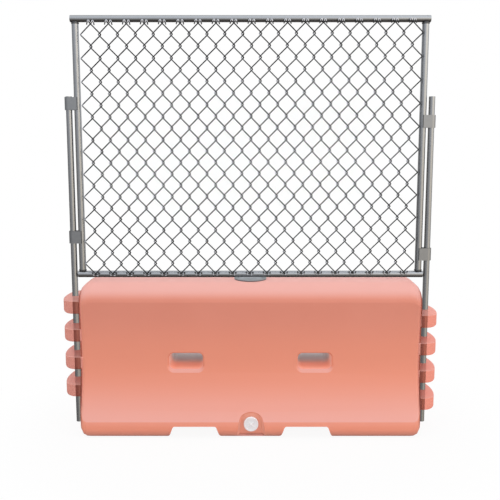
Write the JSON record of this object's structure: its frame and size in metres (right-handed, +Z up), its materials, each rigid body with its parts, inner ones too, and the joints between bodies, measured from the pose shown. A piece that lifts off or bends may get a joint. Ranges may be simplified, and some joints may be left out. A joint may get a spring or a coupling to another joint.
{
  "type": "water barrier fence panel",
  "caption": "Hollow water-filled site barrier with interlocking end knuckles, carrying a tube-framed chain-link fence panel on tall pins.",
  "frame": {"origin": "on the floor below the middle of the barrier", "axes": "+Z up, +X along the barrier's length, -Y towards the side with the drain"},
  "size_m": [1.9726, 0.5, 2.1455],
  "materials": {
    "barrier_plastic": "translucent satin moulding",
    "galvanised_steel": "dull galvanised",
    "fence_wire": "dull galvanised",
    "grey_plastic": "satin moulding",
    "white_plastic": "smooth moulding",
    "rubber": "matt"
  },
  "bodies": {
    "barrier": {"barrier_shell": "barrier_plastic"},
    "fence_panel": {"top_rail": "galvanised_steel", "bottom_rail": "galvanised_steel", "left_upright": "galvanised_steel", "right_upright": "galvanised_steel", "top_left_rail_plug": "galvanised_steel", "top_right_rail_plug": "galvanised_steel", "bottom_left_rail_plug": "galvanised_steel", "bottom_right_rail_plug": "galvanised_steel", "left_upper_bracket": "galvanised_steel", "left_lower_bracket": "galvanised_steel", "right_upper_bracket": "galvanised_steel", "right_lower_bracket": "galvanised_steel", "left_pin": "galvanised_steel", "mesh_wire_01": "fence_wire", "mesh_wire_02": "fence_wire", "mesh_wire_03": "fence_wire", "mesh_wire_04": "fence_wire", "mesh_wire_05": "fence_wire", "mesh_wire_06": "fence_wire", "mesh_wire_07": "fence_wire", "mesh_wire_08": "fence_wire", "mesh_wire_09": "fence_wire", "mesh_wire_10": "fence_wire", "mesh_wire_11": "fence_wire", "mesh_wire_12": "fence_wire", "mesh_wire_13": "fence_wire", "mesh_wire_14": "fence_wire", "mesh_wire_15": "fence_wire", "mesh_wire_16": "fence_wire", "mesh_wire_17": "fence_wire", "mesh_wire_18": "fence_wire", "mesh_wire_19": "fence_wire", "mesh_wire_20": "fence_wire", "mesh_wire_21": "fence_wire", "mesh_wire_22": "fence_wire", "mesh_wire_23": "fence_wire", "mesh_wire_24": "fence_wire", "mesh_wire_25": "fence_wire", "mesh_wire_26": "fence_wire", "mesh_wire_27": "fence_wire", "mesh_wire_28": "fence_wire", "mesh_wire_29": "fence_wire", "mesh_wire_30": "fence_wire", "mesh_wire_31": "fence_wire", "mesh_wire_32": "fence_wire", "mesh_wire_33": "fence_wire", "mesh_wire_34": "fence_wire", "mesh_wire_35": "fence_wire", "mesh_wire_36": "fence_wire", "mesh_wire_37": "fence_wire", "mesh_wire_38": "fence_wire"},
    "right_pin": {"right_pin": "galvanised_steel"},
    "fill_lid": {"fill_lid": "grey_plastic", "fill_lid_seal": "rubber"},
    "drain_washer": {"drain_seal": "rubber"},
    "drain_plug": {"drain_plug": "white_plastic"}
  },
  "joints": [
    {"name": "panel_lift", "type": "slide", "parent": "barrier", "child": "fence_panel", "axis": [0, 0, 1], "range_m": [0, 0.87]},
    {"name": "right_pin_lift", "type": "slide", "parent": "barrier", "child": "right_pin", "axis": [0, 0, 1], "range_m": [0, 1.65]},
    {"name": "lid_turn", "type": "hinge", "parent": "barrier", "child": "fill_lid", "pos_m": [0, 0, 0.79], "axis": [0, 0, 1], "range_deg": [0, 90]},
    {"name": "drain_back_out", "type": "slide", "parent": "barrier", "child": "drain_washer", "axis": [0, -1, 0], "range_m": [0, 0.04]},
    {"name": "drain_turn", "type": "hinge", "parent": "drain_washer", "child": "drain_plug", "pos_m": [0.0035, -0.21, 0.066], "axis": [0, -1, 0], "range_deg": [0, 1801]}
  ],
  "couplings": [
    {"joint": "drain_turn", "follows": "drain_back_out", "rad_per_m": 785.4}
  ]
}
